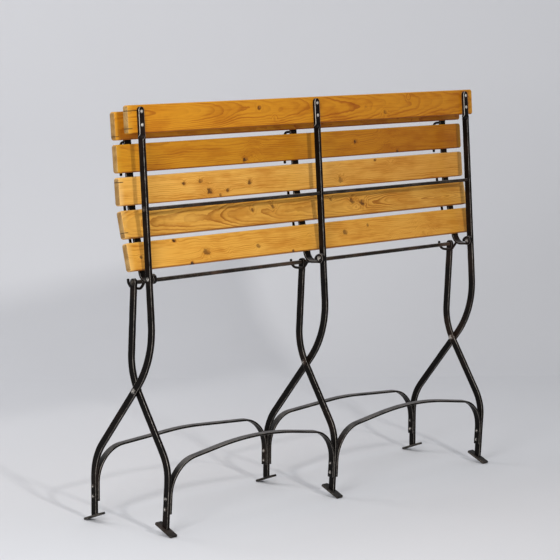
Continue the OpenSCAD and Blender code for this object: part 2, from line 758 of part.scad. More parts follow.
module front_foot(frame) foot_plate(front_sole, front_tilt, bar_x(frame, -bar_t / 2));

module rear_foot(frame) foot_plate(rear_sole, -rear_tilt, bar_x(frame, side_play + bar_t / 2));

stile(left_frame);  // stile_left
stile(middle_frame);  // stile_middle
stile(right_frame);  // stile_right
backrest_slat();
back_rod();
front_stretcher(front_left_bay);  // front_stretcher_left
front_stretcher(front_right_bay);  // front_stretcher_right
front_foot(left_frame);  // front_foot_left
front_foot(middle_frame);  // front_foot_middle
front_foot(right_frame);  // front_foot_right
backrest_screws();
stretcher_rivets(front_sole, -front_shin_lean, front_planes);  // front_stretcher_rivets
seat_pins();
crossing_rivets();
rear_leg(left_frame);  // rear_leg_left
rear_leg(middle_frame);  // rear_leg_middle
rear_leg(right_frame);  // rear_leg_right
cross_rod();
rear_stretcher(rear_left_bay);  // rear_stretcher_left
rear_stretcher(rear_right_bay);  // rear_stretcher_right
rear_foot(left_frame);  // rear_foot_left
rear_foot(middle_frame);  // rear_foot_middle
rear_foot(right_frame);  // rear_foot_right
stretcher_rivets(rear_sole, -rear_shin_lean, rear_planes);  // rear_stretcher_rivets
bearer(left_frame);  // bearer_left
bearer(middle_frame);  // bearer_middle
bearer(right_frame);  // bearer_right
guide(left_frame);  // guide_left
guide(middle_frame);  // guide_middle
guide(right_frame);  // guide_right
seat_slat(1);  // seat_slat_1
seat_slat(2);  // seat_slat_2
seat_slat(3);  // seat_slat_3
seat_slat(4);  // seat_slat_4
seat_slat(5);  // seat_slat_5
seat_screws();
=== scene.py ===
# %% [markdown]
# # A folding garden bench
# Three crossed iron leg frames carry a slatted seat that stands up against the back, and one
# backrest slat. The engineering model gives every piece its place. This lesson dresses it: bars
# with forged edges and worn paint, hammered rivet heads, and planks of varnished pine whose
# grain, knots and cracks are worked out by the material itself.

# %% Load the model
import bpy
from math import sin, cos, tan, asin, acos, atan2, radians, degrees, sqrt, ceil, pi
from mathutils import Vector, Matrix, noise


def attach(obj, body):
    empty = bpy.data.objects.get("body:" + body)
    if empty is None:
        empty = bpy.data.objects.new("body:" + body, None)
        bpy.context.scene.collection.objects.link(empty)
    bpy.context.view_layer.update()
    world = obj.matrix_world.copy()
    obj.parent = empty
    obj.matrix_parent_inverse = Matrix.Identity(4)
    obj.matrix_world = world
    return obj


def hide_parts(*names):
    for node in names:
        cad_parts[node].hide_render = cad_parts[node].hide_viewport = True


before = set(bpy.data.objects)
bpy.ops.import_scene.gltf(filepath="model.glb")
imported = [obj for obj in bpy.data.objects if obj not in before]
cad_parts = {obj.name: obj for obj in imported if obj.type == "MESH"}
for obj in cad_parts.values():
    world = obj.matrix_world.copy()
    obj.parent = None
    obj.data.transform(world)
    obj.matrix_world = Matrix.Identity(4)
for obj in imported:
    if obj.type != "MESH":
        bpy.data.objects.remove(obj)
scene = bpy.context.scene
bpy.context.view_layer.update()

# %% [markdown]
# ## The camera
# The bench was photographed from behind its left end with a long lens, from a little above its
# top. The camera's place, turn and lens were worked out together, so that the corners of the
# slats and the bends of the legs come nearest to where the photograph has them.

# %% Camera
yaw, pitch, roll = radians(45.868), radians(6.780), radians(-0.4945)
camera_place, lens_mm, film_mm = Vector((-3.6381, -3.4754, 1.0886)), 141.89, 36
ahead = Vector((sin(yaw) * cos(pitch), cos(yaw) * cos(pitch), -sin(pitch)))
level = Vector((cos(yaw), -sin(yaw), 0))
above = level.cross(ahead)
camera_right = cos(roll) * level + sin(roll) * above
camera_up = cos(roll) * above - sin(roll) * level
camera = bpy.data.objects.new("camera", bpy.data.cameras.new("camera"))
camera.data.sensor_width = film_mm
camera.data.lens = lens_mm
camera.data.clip_end = 60
turn = Matrix((camera_right, camera_up, -ahead)).transposed()
camera.matrix_world = Matrix.Translation(camera_place) @ turn.to_4x4()
scene.collection.objects.link(camera)
scene.camera = camera
print("camera turned by", degrees(yaw), "degrees and down by", degrees(pitch))

# %% [markdown]
# ## Nodes
# Nodes work out the materials and the sky. These helpers add a node in one line.

# %% Helpers for nodes
class Nodes:
    """The nodes of a material or a sky. last is the one that the others lead to."""
    def __init__(self, owner, last):
        owner.use_nodes = True
        self.owner, self.tree = owner, owner.node_tree
        self.last = self.tree.nodes[last]

    def put(self, value, socket):
        if isinstance(value, bpy.types.NodeSocket):
            self.tree.links.new(value, socket)
        else:
            socket.default_value = value

    def into(self, name, value):
        self.put(value, self.last.inputs[name])

    def node(self, kind, inputs=(), **settings):
        made = self.tree.nodes.new("ShaderNode" + kind)
        for key, value in settings.items():
            setattr(made, key, value)
        for socket, value in dict(inputs).items():
            self.put(value, made.inputs[socket])
        return made.outputs

    def math(self, how, a, b=0.0, c=0.0, clamp=False):
        return self.node("Math", {0: a, 1: b, 2: c}, operation=how, use_clamp=clamp)[0]

    def times(self, a, b):
        return self.math("MULTIPLY", a, b)

    def vector(self, how, a, b=(0, 0, 0), out="Vector"):
        return self.node("VectorMath", {0: a, 1: b}, operation=how)[out]

    def spread(self, value, low, high, to_low=0.0, to_high=1.0):
        """From to_low, where value is at low, softly to to_high, where it is at high."""
        return self.node("MapRange", {"Value": value, "From Min": low, "From Max": high,
                         "To Min": to_low, "To Max": to_high},
                         interpolation_type="SMOOTHSTEP")[0]

    def noise(self, at, scale, detail, roughness=0.5):
        return self.node("TexNoise", {"Vector": at, "Scale": scale, "Detail": detail,
                         "Roughness": roughness})["Fac"]

    def mix(self, share, a, b, how="MIX"):
        a, b = [v if isinstance(v, bpy.types.NodeSocket) else (*v, 1) for v in (a, b)]
        return self.node("Mix", {0: share, 6: a, 7: b}, data_type="RGBA", blend_type=how)[2]

    def bump(self, height, distance, strength):
        return self.node("Bump", {"Height": height, "Distance": distance,
                         "Strength": strength})["Normal"]

def finish(name):
    return Nodes(bpy.data.materials.new(name), "Principled BSDF")
def tinted(colour, factors):
    return [c * k for c, k in zip(colour, factors)]

# %% [markdown]
# ## Room and light
# The bench stands on a pale floor, which curves up into a wall behind it. The wall is no wider
# than the picture needs, so that the bench can be seen from its sides too. A small lamp right of
# the camera draws the crisp shadows of the legs across the planks, and a larger one by the left
# end opens them a little. A wide lamp overhead draws the upper edges, and one on the far side
# keeps the wall pale. The sky is dim where it lights, and paler where it is seen directly or
# mirrored, because black iron shows its shape only through what it mirrors.

# %% Room
def sheet(name, line, half_width):
    """line: (distance behind the bench, height) of the sheet's points, in m."""
    along = (camera_right * Vector((1, 1, 0))).normalized()
    away = (ahead * Vector((1, 1, 0))).normalized()
    points = [away * d + along * s + Vector((0, 0, h))
              for d, h in line for s in (-half_width, half_width)]
    faces = [(2 * i, 2 * i + 1, 2 * i + 3, 2 * i + 2) for i in range(len(line) - 1)]
    mesh = bpy.data.meshes.new(name)
    mesh.from_pydata(points, [], faces)
    mesh.shade_smooth()
    laid = bpy.data.objects.new(name, mesh)
    scene.collection.objects.link(laid)
    mesh.materials.append(pale.owner)
    print(name, "of", len(faces), "faces")

pale = finish("pale studio sheet")
pale.into("Base Color", (0.74, 0.745, 0.775, 1))
pale.into("Roughness", 0.85)
floor_half, wall_half, wall_at, wall_top, curve_r = 9, 1.7, 2.3, 3, 0.7
curve = [radians(10 * k) for k in range(10)]
wall_line = [(wall_at - curve_r + curve_r * sin(a), curve_r - curve_r * cos(a)) for a in curve]
sheet("floor", [(-floor_half, 0), (floor_half, 0)], floor_half)
sheet("wall", wall_line + [(wall_at, wall_top)], wall_half)

# %% Lamps and sky
def soft_lamp(name, place, aim, size, power, colour=(1, 1, 1)):
    lamp = bpy.data.lights.new(name, "AREA")
    lamp.shape, lamp.size, lamp.energy, lamp.color = "SQUARE", size, power, colour
    holder = bpy.data.objects.new(name, lamp)
    holder.location = place
    holder.rotation_euler = (Vector(aim) - Vector(place)).to_track_quat("-Z", "Y").to_euler()
    scene.collection.objects.link(holder)

soft_lamp("lamp right of the camera", place=(-1.7, -4.2, 2.3), aim=(0, 0, 0.55), size=0.24,
          power=87, colour=(1, 0.985, 0.96))
soft_lamp("lamp by the left end", place=(-2.2, -1.1, 1.3), aim=(-0.4, 0, 0.6), size=0.8, power=25)
soft_lamp("lamp overhead", place=(-0.4, 0.2, 3.4), aim=(0, 0, 0.4), size=3.0, power=32)
soft_lamp("lamp on the far side", place=(-0.7, 2.4, 1.8), aim=(0, 0, 0.5), size=1.2, power=18)
sky_that_lights, sky_that_shows = 0.2, 0.5
sky = Nodes(bpy.data.worlds.new("sky"), "Background")
light_path = sky.node("LightPath")
seen = light_path["Is Camera Ray"]
for also in ("Is Glossy Ray", "Is Transmission Ray"):
    seen = sky.math("ADD", seen, light_path[also], clamp=True)
sky.into("Strength", sky.spread(seen, 0, 1, sky_that_lights, sky_that_shows))
sky.into("Color", (0.93, 0.96, 1.0, 1))
scene.world = sky.owner
scene.view_settings.view_transform = "Standard"
print("lamps:", len(bpy.data.lights))

# %% [markdown]
# ## The side profile
# The whole bench is a side view, repeated three times. Its named sizes are those of the
# engineering model, in millimetres, with y = 0 at the crossing rivets. A lean is measured from
# upright, positive towards the front going up.

# %% Directions in the profile
def spoke(a):
    return Vector((cos(radians(a)), sin(radians(a))))
def up(lean):
    return Vector((sin(radians(lean)), cos(radians(lean))))
def across(lean):
    return Vector((cos(radians(lean)), -sin(radians(lean))))
def turned(v, a):
    c, s = cos(radians(a)), sin(radians(a))
    return Vector((v[0] * c + v[1] * s, v[1] * c - v[0] * s))
def crossed(a, b):
    return a[0] * b[1] - a[1] * b[0]
def meet(p, lean_p, q, lean_q):
    return p + up(lean_p) * crossed(q - p, up(lean_q)) / crossed(up(lean_p), up(lean_q))
def lean_of(v):
    return degrees(atan2(v[0], v[1]))

# %% Named sizes
# Places in the profile, and how the bench folds
crossing, seat_pin, cross_rod_at = Vector((0, 303)), Vector((-50.3, 546)), Vector((7, 534))
front_foot_y, rear_foot_y, stile_top_z, back_rod_rise = 137, -81, 907, 147
leg_opening, seat_ratio, seat_rest_gap = 45, 2, 0.3
# Leans of the legs' straight parts
front_shin, front_diagonal, back_lean = -1.2, -40, 3
rear_shin, rear_diagonal, rear_top = -4.6, 31, -4
# Leg frames, stretchers and feet
frame_span, bar_w, bar_t, side_play, twist_l, leg_head_d = 1070, 16, 8, 0.5, 14, 18
stretcher_w, stretcher_t, stretcher_foot, crown_bend = 16, 5, 36, 780
front_arch = dict(shoulder=148, rise=16, bend=77)
rear_arch = dict(shoulder=142, rise=38, bend=77)
foot_l, foot_w, foot_t, foot_corner, foot_sink = 55, 20, 5, 3, 2.0
# Slats and bearers
slat_w, slat_t, slat_gap, bend_gap, slat_overhang = 60, 15, 9, 12, 29
slat_corner, slat_edge, front_slats, rear_slats, backrest_drop = 6, 2.5, 3, 2, 4
bearer_w, bearer_t, eye_w, neck_y, eye_ream, eye_roll = 20, 5, 9, 18, 0.1, 290
heel_y, heel_bend, heel_length, rear_seat_lean, seat_bend_r, bearer_setback = 32, 22, 23, 13, 40, 8
# Guide rods
guide_d, guide_reach, guide_play, guide_side = 6, 24, 2.5, 1.5
hook_drop, hook_angle, rail_angle, rail_end, catch_angle = 13, 5, 6, 46, 2
# Rods, pins, rivets and screws
back_rod_d, cross_rod_d, crossing_d, crossing_head_d, crossing_head_h = 8, 9, 8, 15, 4
seat_pin_d, pin_tenon_d, pin_head_d, pin_end_d, pin_head_h, hole_play = 12, 8, 13.5, 10.5, 2, 0.05
rivet_d, rivet_head_d, rivet_head_h, rivet_low, rivet_pitch = 6, 10, 3, 47, 22
screw_d, screw_head_h, screw_from_top, back_screw_l, seat_screw_l = 4, 2, (10, 38), 18, 13
print("back legs up to", stile_top_z, "mm, frames over", frame_span, "mm")

# %% Places of the pins and feet
def sole(y, tilt):
    return Vector((y, foot_l / 2 * sin(radians(tilt))))
def opened(p):
    return crossing + turned(p - crossing, leg_opening)
def feet_slope(front, rear):
    q = opened(rear)
    return degrees(atan2(q[1] - front[1], front[0] - q[0]))

guess = feet_slope(Vector((front_foot_y, 0)), Vector((rear_foot_y, 0)))
front_tilt = feet_slope(sole(front_foot_y, guess), sole(rear_foot_y, leg_opening - guess))
rear_tilt = leg_opening - front_tilt
front_sole, rear_sole = sole(front_foot_y, front_tilt), sole(rear_foot_y, rear_tilt)

def reach(tilt):
    return foot_l / 2 * cos(radians(tilt)) + foot_t * sin(radians(tilt))
middle_y = (front_sole[0] + reach(front_tilt) + rear_sole[0] - reach(rear_tilt)) / 2
print("feet tilt by", round(front_tilt, 2), "and", round(rear_tilt, 2), "degrees")

# %% [markdown]
# ## From a line to a bar
# A centre line with rounded corners tells the whole shape of a bent bar. The line is cut into
# short steps, and at each step a ring of points is set across it. Joined up, the rings make the
# bar. This beats bevelling a ready mesh, because the rounded edges run on through bends and
# twists, and each ring can swell, narrow or turn.

# %% Rounded centre lines
def bend_line(corners, radii, step):
    """A line with rounded corners. A bend takes up no more than a share of the straight beside
    it, and its chords stay within sag of the true arc."""
    end_share, middle_share, sag = 0.95, 0.47, 0.05
    p = [Vector(c) for c in corners]
    out = [p[0]]
    def room(i, j):
        return (p[j] - p[i]).length * (end_share if j in (0, len(p) - 1) else middle_share)
    for i in range(1, len(p) - 1):
        a, b = (p[i] - p[i - 1]).normalized(), (p[i + 1] - p[i]).normalized()
        angle = atan2(crossed(a, b), a.dot(b))
        if abs(angle) < 2e-4 or radii[i] == 0:
            out.append(p[i])
            continue
        cut = min(radii[i] * tan(abs(angle) / 2), room(i, i - 1), room(i, i + 1))
        r = cut / tan(abs(angle) / 2)
        side = 1 if angle > 0 else -1
        centre = p[i] - cut * a + side * r * Vector((-a[1], a[0]))
        n = max(2, ceil(abs(angle) / (2 * acos(1 - sag / r))), ceil(r * abs(angle) / step))
        way = atan2(a[1], a[0])
        for k in range(n + 1):
            t = way + angle * k / n
            out.append(centre + side * r * Vector((sin(t), -cos(t))))
    out.append(p[-1])
    return filled(out, step)

def filled(line, step):
    out = [line[0]]
    for a, b in zip(line, line[1:]):
        n = max(1, ceil((b - a).length / step))
        if (b - a).length > 1e-4:
            out += [a + (b - a) * k / n for k in range(1, n + 1)]
    return out

# %% A bar's cross-section
quarters = ((1, -1, -90), (1, 1, 0), (-1, 1, 90), (-1, -1, 180))

def flat_section(w, t, round_r):
    """Points round a rectangle with rounded corners, and how exposed each one is to wear, which
    also places painted highlights on the corners. A point on the flat beside each corner keeps the
    flats flat under smooth shading."""
    beside, points, worn_and_glint = 0.7, [], []
    for cx, cy, start in quarters:
        centre = Vector((cx * (w / 2 - round_r), cy * (t / 2 - round_r)))
        out = [spoke(start + d) for d in (0, 45, 90)]
        arc = [centre + round_r * v for v in out]
        lead, tail = Vector((out[0][1], -out[0][0])), Vector((-out[2][1], out[2][0]))
        points += [arc[0] + beside * lead, *arc, arc[2] + beside * tail]
        worn_and_glint += [0.0, 0.35, 1.0, 0.35, 0.0]
    return points, worn_and_glint

def round_section(d, sides):
    return [spoke(360 * k / sides) * d / 2 for k in range(sides)], [0.25] * sides

# %% Rings joined into a piece
def new_piece(name, points, faces, body, nodes, material, worn_and_glint=None):
    """points: in mm. worn_and_glint: how exposed each point is to wear, which is stored on the mesh
    and also places painted highlights.
    """
    mesh = bpy.data.meshes.new(name)
    mesh.from_pydata([p * 0.001 for p in points], [], faces)
    mesh.update()
    if worn_and_glint:
        mesh.attributes.new("worn_and_glint", "FLOAT", "POINT").data.foreach_set("value", worn_and_glint)
    piece = bpy.data.objects.new(name, mesh)
    scene.collection.objects.link(piece)
    mesh.shade_smooth()
    mesh.materials.append(material)
    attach(piece, body)
    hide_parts(*nodes)
    return piece

def rings_to_faces(count, n, first=0):
    faces = [tuple(first + j for j in reversed(range(n)))]
    for k in range(count - 1):
        a, b = first + k * n, first + (k + 1) * n
        faces += [(a + j, a + (j + 1) % n, b + (j + 1) % n, b + j) for j in range(n)]
    faces.append(tuple(first + (count - 1) * n + j for j in range(n)))
    return faces

sideways, dent_scale, dent_fade = Vector((1, 0, 0)), 0.055, 4
def bar_rings(line, face, section, seed=0.0, hammer=0.0, turn=None, narrow=None):
    """Rings across a line in space. face: the direction square to the line's plane. turn, narrow:
    at each step, an angle and two scales for the section. hammer: the depth of the dents in mm,
    which fade out within dent_fade of the section's middle lines."""
    rings = []
    for i, at in enumerate(line):
        a = (line[i] - line[i - 1]).normalized() if i else Vector()
        b = (line[i + 1] - line[i]).normalized() if i < len(line) - 1 else Vector()
        way = (a + b).normalized()
        stretch = 1 if i in (0, len(line) - 1) else 1 / max(0.5, (a + b).length / 2)
        side = face.cross(way).normalized()
        angle = turn[i] if turn else 0
        sx, sy = narrow[i] if narrow else (1, 1)
        ring = []
        for q in section:
            x, y = q[0] * sx, q[1] * sy
            u, v = x * cos(angle) - y * sin(angle), x * sin(angle) + y * cos(angle)
            p = at + side * u * stretch + face * v
            dent = hammer * (0.5 + 0.5 * noise.noise(p * dent_scale + Vector((seed, 3.1, 7.7))))
            p -= (side * (1 if u > 0 else -1) * min(1, abs(u) / dent_fade)
                  + face * (1 if v > 0 else -1) * min(1, abs(v) / dent_fade)) * dent
            ring.append(p)
        rings.append(ring)
    return rings

# %% [markdown]
# ## Painted iron
# The bars were forged, hammered and painted black long ago. Paint stays dark in the hollows and
# has worn down to brown-grey iron along the edges, kept bright there as a painted highlight too,
# where the edges catch the light. The wear and the painted highlight follow a value stored on the
# mesh, so they sit on the edges from every side, and noise breaks them up like real chipping.
# Dust, together with a painted sheen, greys whatever faces up. The foot plates, the long rods and
# the rivet heads wear in their own way, so each has its own finish.

# %% Painted iron
def iron_finish(name, paint, iron, starts, dust_and_sheen):
    """starts: how much wear it takes before the paint gives way to bare iron, which is partly a
    painted
    highlight. dust_and_sheen: how grey the tops are, partly dust and partly a painted sheen.
    """
    f = finish(name)
    space = f.node("TexCoord")
    at = space["Object"]
    edge = f.node("Attribute", attribute_name="worn_and_glint")["Fac"]
    chips, patches = f.noise(at, 160, 4, 0.6), f.noise(at, 28, 3, 0.55)
    # Bare iron where the worn value and noise run high: partly wear, partly a painted highlight on
    # the edges.
    wear_and_glint = f.math("MULTIPLY_ADD", f.math("ADD", chips, patches), 0.55, edge)
    bare_and_glint = f.spread(wear_and_glint, starts, starts + 0.5)
    scuffs = f.spread(f.noise(at, 11, 4, 0.6), 0.5, 0.72)
    tone = f.mix(scuffs, paint, tinted(paint, (4.5, 3.4, 2.8)))
    specks = f.spread(f.noise(at, 420, 2), 0.68, 0.74, 0, 0.25)
    tone = f.mix(specks, tone, (0.12, 0.08, 0.05))
    # Grey on upward faces: partly dust, partly a painted sheen standing for tops that mirror pale
    # surroundings.
    top = f.spread(f.node("SeparateXYZ", {0: space["Normal"]})["Z"], 0.6, 0.97)
    settled_and_sheen = f.times(top, f.spread(patches, 0.3, 0.6, 0.4 * dust_and_sheen, dust_and_sheen))
    tone = f.mix(settled_and_sheen, tone, (0.148, 0.139, 0.135))
    f.into("Base Color", f.mix(bare_and_glint, tone, iron))
    f.into("Metallic", f.times(bare_and_glint, 0.5))
    f.into("Roughness", f.spread(patches, 0.3, 0.7, 0.36, 0.5))
    height = f.math("ADD", f.noise(at, 55, 2), f.times(chips, 0.12))
    f.into("Normal", f.bump(height, 0.0006, 0.5))
    f.into("Specular IOR Level", 0.08)
    return f.owner

black_iron = iron_finish("black painted iron", paint=(0.0036, 0.0028, 0.0024),
                         iron=(0.40, 0.36, 0.32), starts=1.18, dust_and_sheen=0.7)
foot_iron = iron_finish("scuffed foot iron", paint=(0.009, 0.0075, 0.0065),
                        iron=(0.2, 0.175, 0.15), starts=1.33, dust_and_sheen=0.12)
rod_iron = iron_finish("rubbed rod iron", paint=(0.017, 0.0135, 0.011),
                       iron=(0.10, 0.085, 0.07), starts=1.05, dust_and_sheen=0.9)
# The heads' bright bare crowns are partly wear, partly a painted highlight on each dome.
worn_and_glinting_iron = iron_finish("worn rivet iron", paint=(0.012, 0.010, 0.009),
                        iron=(0.50, 0.47, 0.43), starts=1.05, dust_and_sheen=0.3)
print("iron finishes:", [m.name for m in (black_iron, foot_iron, rod_iron, worn_and_glinting_iron)])

# %% Pieces of black iron
def iron_piece(name, bars, worn_and_glint, body, node, material=black_iron):
    """bars: the rings of each bar in the piece. worn_and_glint: how exposed each point is, to wear
    and to painted highlights.
    """
    points, faces = [], []
    for rings in bars:
        faces += rings_to_faces(len(rings), len(rings[0]), len(points))
        points += sum(rings, [])
    new_piece(name, points, faces, body, [node], material, worn_and_glint)
    print(name, "of", len(points), "points")

# %% [markdown]
# ## Back legs
# Each back leg is one bar from its foot to the backrest: two bends, then a quarter twist so that
# its last stretch lies flat against the slat, with a round end. The back leg gives the bench
# its outline, so it is made first. Only the twist needs more than a bent line: there the rings
# turn step by step over 14 mm. The tab's edges are painted brighter than the rest: rubbed paint,
# and a painted highlight where their bevels catch the light.

# %% Lines of the back leg
end_face = frame_span / 2 - bar_t
frames = {"left": (-end_face, 1), "middle": (side_play / 2, -1), "right": (end_face, -1)}
def bar_x(side, w):
    """x at w mm from a back leg's face, towards the rear leg that is riveted to it."""
    return frames[side][0] + frames[side][1] * w
front_low = meet(front_sole, front_shin, crossing, front_diagonal)
front_hip = meet(crossing, front_diagonal, seat_pin, back_lean)
stile_top = seat_pin + up(back_lean) * (stile_top_z - seat_pin[1]) / cos(radians(back_lean))
tab_l = slat_w - backrest_drop
tab_from = stile_top - up(back_lean) * tab_l
twist_from = tab_from - up(back_lean) * twist_l
print("tabs of", tab_l, "mm, twists of", twist_l, "mm")

def in_space(x, p):
    return Vector((x, p[0] - middle_y, p[1]))

def foot_end(foot, lean, tilt):
    """Where a leg's centre line meets the plane foot_sink above the foot plate's underside."""
    return foot + up(lean) * (foot_sink / up(lean).dot(up(tilt)))

def cut_to_sole(ring, foot, tilt, x):
    """Moves the first ring's points onto the tilted plane inside the foot plate."""
    normal = Vector((0, *up(tilt)))
    origin = in_space(x, foot) + normal * foot_sink
    return [p - normal * (p - origin).dot(normal) for p in ring]

# %% Back legs
shin_bend, hip_bend, leg_step, twist_steps = 120, 200, 7, 12
leg_edge, leg_dents, next_seed = 1.3, 0.35, 5.3
crest_rub_and_glint, flank_rub_and_glint = 1.3, 1.9

for number, side in enumerate(frames):
    x, start = bar_x(side, -bar_t / 2), foot_end(front_sole, front_shin, front_tilt)
    line = bend_line([start, front_low, front_hip, twist_from], [0, shin_bend, hip_bend, 0],
                     leg_step)
    turn, shares = [0.0] * len(line), [k / twist_steps for k in range(1, twist_steps + 1)]
    line += [twist_from + up(back_lean) * twist_l * share for share in shares]
    turn += [pi / 2 * share * share * (3 - 2 * share) for share in shares]
    narrow, r = [(1, 1)] * len(line), bar_w / 2
    straight_steps = [6 * k for k in range(1, 9)]
    round_steps = [tab_l - r + r * sin(radians(a)) for a in range(10, 90, 10)]
    for d in straight_steps + round_steps:
        line.append(tab_from + up(back_lean) * d)
        turn.append(pi / 2)
        over = max(0.0, d - (tab_l - r))
        narrow.append((sqrt(r * r - over * over) / r, 1))
    section, worn_and_glint = flat_section(bar_w, bar_t, leg_edge)
    rings = bar_rings([in_space(x, p) for p in line], sideways, section, number * next_seed,
                      leg_dents, turn, narrow)
    rings[0] = cut_to_sole(rings[0], front_sole, front_tilt, x)
    # The tab's brighter edges: partly rubbed paint, partly a painted highlight on its bevels.
    rubbed_and_highlit = [w * crest_rub_and_glint if w == 1 else w * flank_rub_and_glint for w in worn_and_glint]
    on_tab = sum(1 for angle in turn if angle > 1)
    iron_piece(f"back_leg_{side}", [rings], worn_and_glint * (len(rings) - on_tab) + rubbed_and_highlit * on_tab,
               "back_frame", f"stile_{side}")

# %% [markdown]
# ## Rear legs
# The rear leg crosses the back leg at a rivet and ends in a round head for the cross rod.

# %% Rear legs
rear_low = meet(rear_sole, rear_shin, crossing, rear_diagonal)
rear_knee = meet(crossing, rear_diagonal, cross_rod_at, rear_top)
rear_shin_bend, knee_bend, neck_l = 100, 140, 12
head_steps = (-10, -8, -6, -4, -2, 0, 2, 4, 5.5, 6.8, 7.8, 8.5, 8.9)

for number, side in enumerate(frames):
    x, head_r, r = bar_x(side, side_play + bar_t / 2), leg_head_d / 2, bar_w / 2
    start = foot_end(rear_sole, rear_shin, -rear_tilt)
    neck = cross_rod_at - up(rear_top) * neck_l
    line = bend_line([start, rear_low, rear_knee, neck], [0, rear_shin_bend, knee_bend, 0],
                     leg_step)
    narrow = [(1, 1)] * len(line)
    for d in head_steps:
        line.append(cross_rod_at + up(rear_top) * d)
        round_w = sqrt(head_r ** 2 - d * d) if abs(d) < head_r else 0
        narrow.append((max(round_w, r if d < 0 else 0) / r, 1))
    section, worn_and_glint = flat_section(bar_w, bar_t, leg_edge)
    rings = bar_rings([in_space(x, p) for p in line], sideways, section,
                      20 + number * next_seed, leg_dents, narrow=narrow)
    rings[0] = cut_to_sole(rings[0], rear_sole, -rear_tilt, x)
    iron_piece(f"rear_leg_bar_{side}", [rings], worn_and_glint * len(rings), "rear_legs", f"rear_leg_{side}")

# %% [markdown]
# ## Arched stretchers
# A thin flat iron is bent twice round and riveted between two legs. It keeps the frames apart
# and stops the bench from racking. It leans with the lower part of those legs.

# %% Stretchers
thin_edge, arch_step = 1.1, 9

def stretcher(name, foot, lean, x0, x1, shoulder, rise, bend, body, seed):
    span = x1 - x0
    left, right = stretcher_t / 2, span - stretcher_t / 2
    flat = bend_line([(left, stretcher_foot), (left, shoulder), (span / 2, shoulder + rise),
                      (right, shoulder), (right, stretcher_foot)],
                     [0, bend, crown_bend, bend, 0], arch_step)
    start, rise_way = in_space(x0, foot), Vector((0, *up(lean)))
    line = [start + Vector((p[0], 0, 0)) + rise_way * p[1] for p in flat]
    section, worn_and_glint = flat_section(stretcher_t, stretcher_w, thin_edge)
    rings = bar_rings(line, Vector((0, *across(lean))), section, seed, hammer=0.2)
    iron_piece(name + "_arch", [rings], worn_and_glint * len(rings), body, name)

front_left = (bar_x("left", 0), bar_x("middle", 0))
front_right = (bar_x("middle", -bar_t), bar_x("right", 0))
leg_far = side_play + bar_t
rear_left = (bar_x("left", leg_far), bar_x("middle", leg_far))
rear_right = (bar_x("middle", side_play), bar_x("right", leg_far))
bays = (("left", front_left, rear_left), ("right", front_right, rear_right))
for k, (side, front, rear) in enumerate(bays):
    stretcher(f"front_stretcher_{side}", front_sole, front_shin, *front, **front_arch,
              body="back_frame", seed=40 + k)
    stretcher(f"rear_stretcher_{side}", rear_sole, rear_shin, *rear, **rear_arch,
              body="rear_legs", seed=50 + k)

# %% [markdown]
# ## Bearers and guide rods
# Under the seat, a flat iron is drawn down to less than half its width, rolled into an eye round
# the seat pin, comes back as the heel, and runs up behind the slats. A smith draws the end down
# first and rolls it after. Here the rings are made at full width, and pushed together last. On
# the far side of the bearer a thin rod holds the cross rod in a hook, runs along the bearer as a
# rail, and catches the cross rod again when the bench is open.

# %% Lines of the bearer
eye_r = seat_pin_d / 2 + hole_play
eye_mid_r = eye_r - eye_ream + bearer_t / 2
heel = Vector((heel_y, -eye_mid_r))
rear_part = heel_length + rear_slats * slat_w + (rear_slats - 1) * slat_gap + bend_gap / 2
seat_bend = heel + up(rear_seat_lean) * rear_part
def rod_path(a):
    return (turned(crossing - seat_pin, -seat_ratio * a)
            + turned(cross_rod_at - crossing, (1 - seat_ratio) * a))
rod_open = rod_path(leg_opening)
rest_offset = leg_head_d / 2 + seat_rest_gap + bearer_t / 2
front_seat_lean = (lean_of(rod_open - seat_bend)
                   - degrees(asin(rest_offset / (rod_open - seat_bend).length)))
front_part = bend_gap / 2 + front_slats * slat_w + (front_slats - 1) * slat_gap - bearer_setback
bearer_end = seat_bend + up(front_seat_lean) * front_part
rolled = [spoke(a) * eye_mid_r for a in range(-90 - eye_roll, -94, 5)]
heel_radius, bearer_step, rail_step = heel_bend + bearer_t / 2, 4, 6
bearer_line = filled(rolled + bend_line([(0, -eye_mid_r), heel, seat_bend, bearer_end],
                                        [0, heel_radius, seat_bend_r, 0], bearer_step), bearer_step)
print("front part of the seat leans", round(front_seat_lean, 2), "degrees")

slat_pitch, first_slat = slat_w + slat_gap, (bend_gap + slat_w) / 2
def from_bend(i):
    """Place of a slat's middle on the bearer. Slat 1 is the front one, at the top when folded."""
    if i > front_slats:
        return -first_slat - (i - front_slats - 1) * slat_pitch
    return first_slat + (front_slats - i) * slat_pitch
def slat_lean(i):
    return front_seat_lean if i <= front_slats else rear_seat_lean
def on_bearer(along, lean, off):
    return seat_bend + up(lean) * along + across(lean) * off

